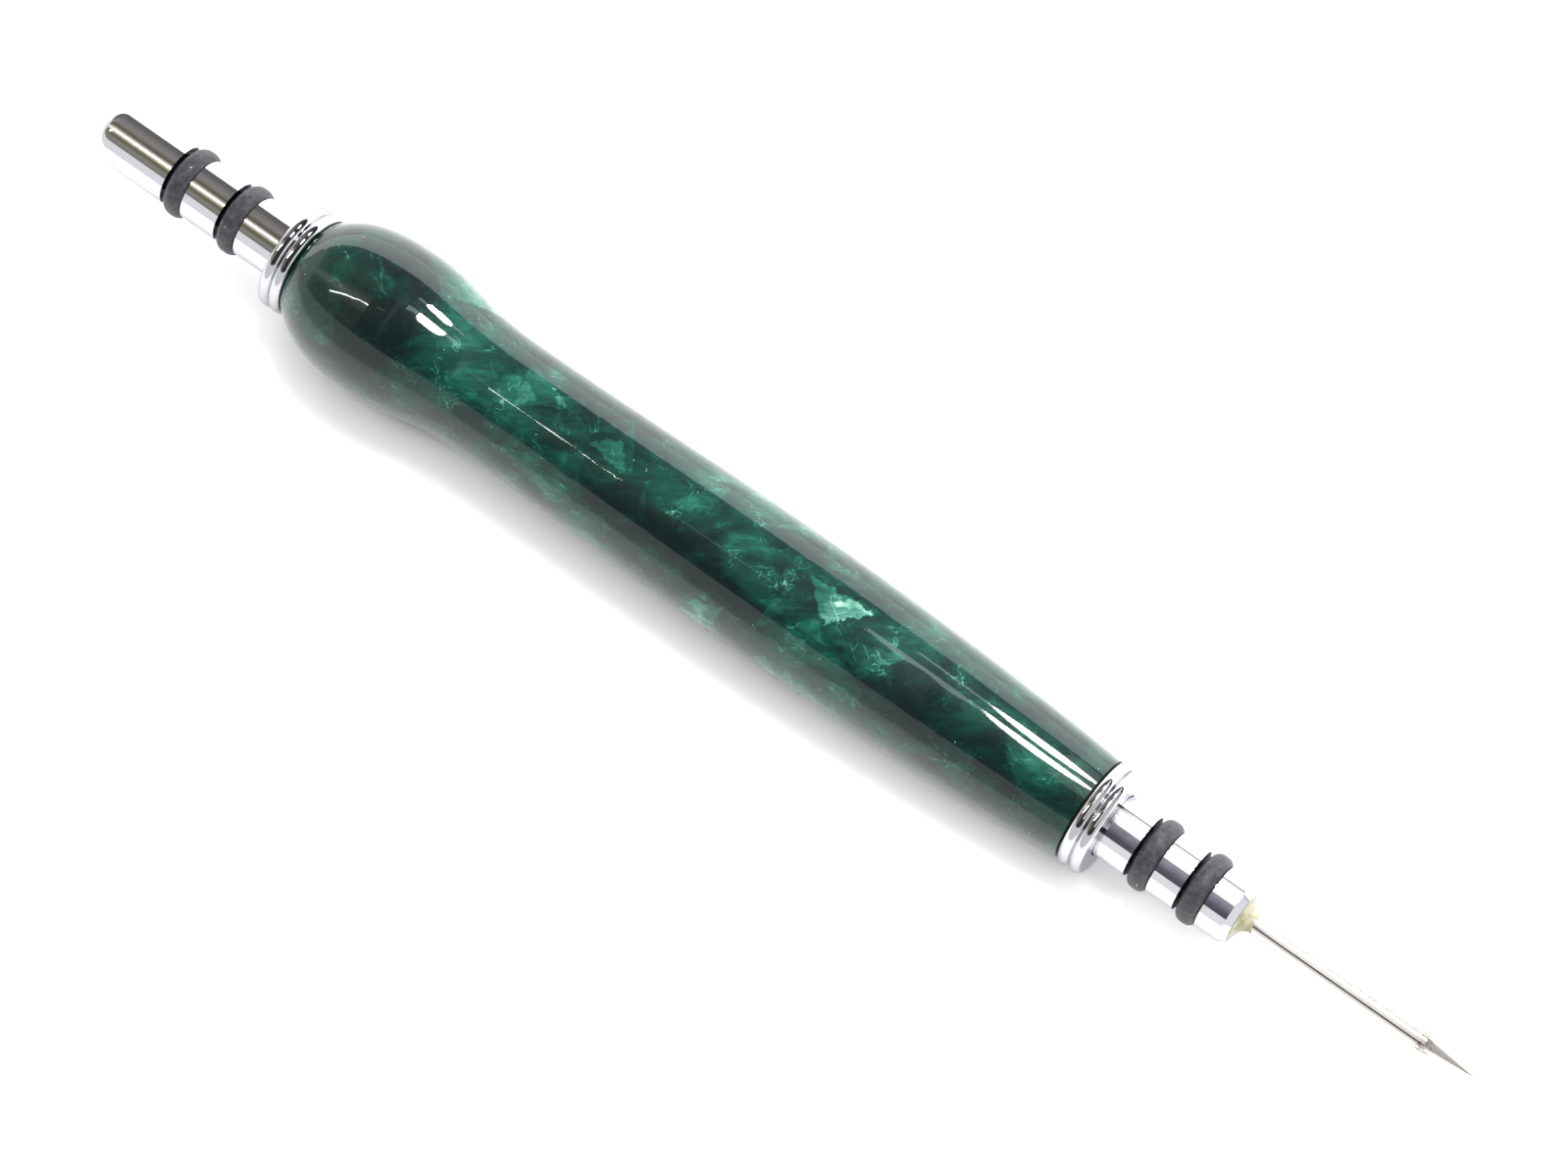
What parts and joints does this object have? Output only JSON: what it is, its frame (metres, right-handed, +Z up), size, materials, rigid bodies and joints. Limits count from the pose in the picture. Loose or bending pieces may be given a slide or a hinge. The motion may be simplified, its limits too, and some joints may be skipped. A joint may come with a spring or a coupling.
{
  "type": "scratch awl",
  "caption": "Turned acrylic handle with a chromed collar at each end; a pull-out reversible shank carries the needle, and a second one is stowed in the other end, domed end out.",
  "frame": {"origin": "middle of the whole tool on its axis, halfway between the stowed insert's domed end and the needle's tip", "axes": "+X along the tool's axis towards the needle's tip, +Z up when the tool lies on its side, +Y to the left of +X"},
  "size_m": [0.1764, 0.0174, 0.0174],
  "materials": {
    "handle_acrylic": "deep green pearl cast acrylic, polished to a high gloss",
    "tube_brass": "bright drawn brass",
    "collar_chrome": "bright chrome plate",
    "shank_chrome": "bright chrome plate",
    "needle_steel": "polished tool steel, fine marks along its length",
    "blade_steel": "polished steel blade",
    "ring_rubber": "satin black nitrile rubber",
    "set_resin": "set epoxy, pale amber",
    "ball_plastic": "gloss red plastic"
  },
  "bodies": {
    "handle": {"handle_body": "handle_acrylic", "front_tube": "tube_brass", "rear_tube": "tube_brass", "front_collar": "collar_chrome", "rear_collar": "collar_chrome"},
    "awl_grip": {"awl_dome_ring_outer": "ring_rubber", "awl_dome_ring_inner": "ring_rubber"},
    "awl_insert": {"awl_shank": "shank_chrome", "awl_needle": "needle_steel", "awl_resin": "set_resin", "awl_tool_ring_inner": "ring_rubber", "awl_tool_ring_outer": "ring_rubber"},
    "ripper_grip": {"ripper_tool_ring_inner": "ring_rubber", "ripper_tool_ring_outer": "ring_rubber"},
    "ripper_insert": {"ripper_shank": "shank_chrome", "ripper_blade": "blade_steel", "ripper_ball": "ball_plastic", "ripper_resin": "set_resin", "ripper_dome_ring_outer": "ring_rubber", "ripper_dome_ring_inner": "ring_rubber"}
  },
  "joints": [
    {"name": "awl_slide", "type": "slide", "parent": "handle", "child": "awl_grip", "axis": [1, 0, 0], "range_m": [0, 0.026]},
    {"name": "awl_turn", "type": "hinge", "parent": "awl_grip", "child": "awl_insert", "pos_m": [0.04415, 0, 0], "axis": [1, 0, 0], "continuous": true},
    {"name": "ripper_slide", "type": "slide", "parent": "handle", "child": "ripper_grip", "axis": [-1, 0, 0], "range_m": [0, 0.0445]},
    {"name": "ripper_turn", "type": "hinge", "parent": "ripper_grip", "child": "ripper_insert", "pos_m": [-0.06275, 0, 0], "axis": [1, 0, 0], "continuous": true}
  ]
}
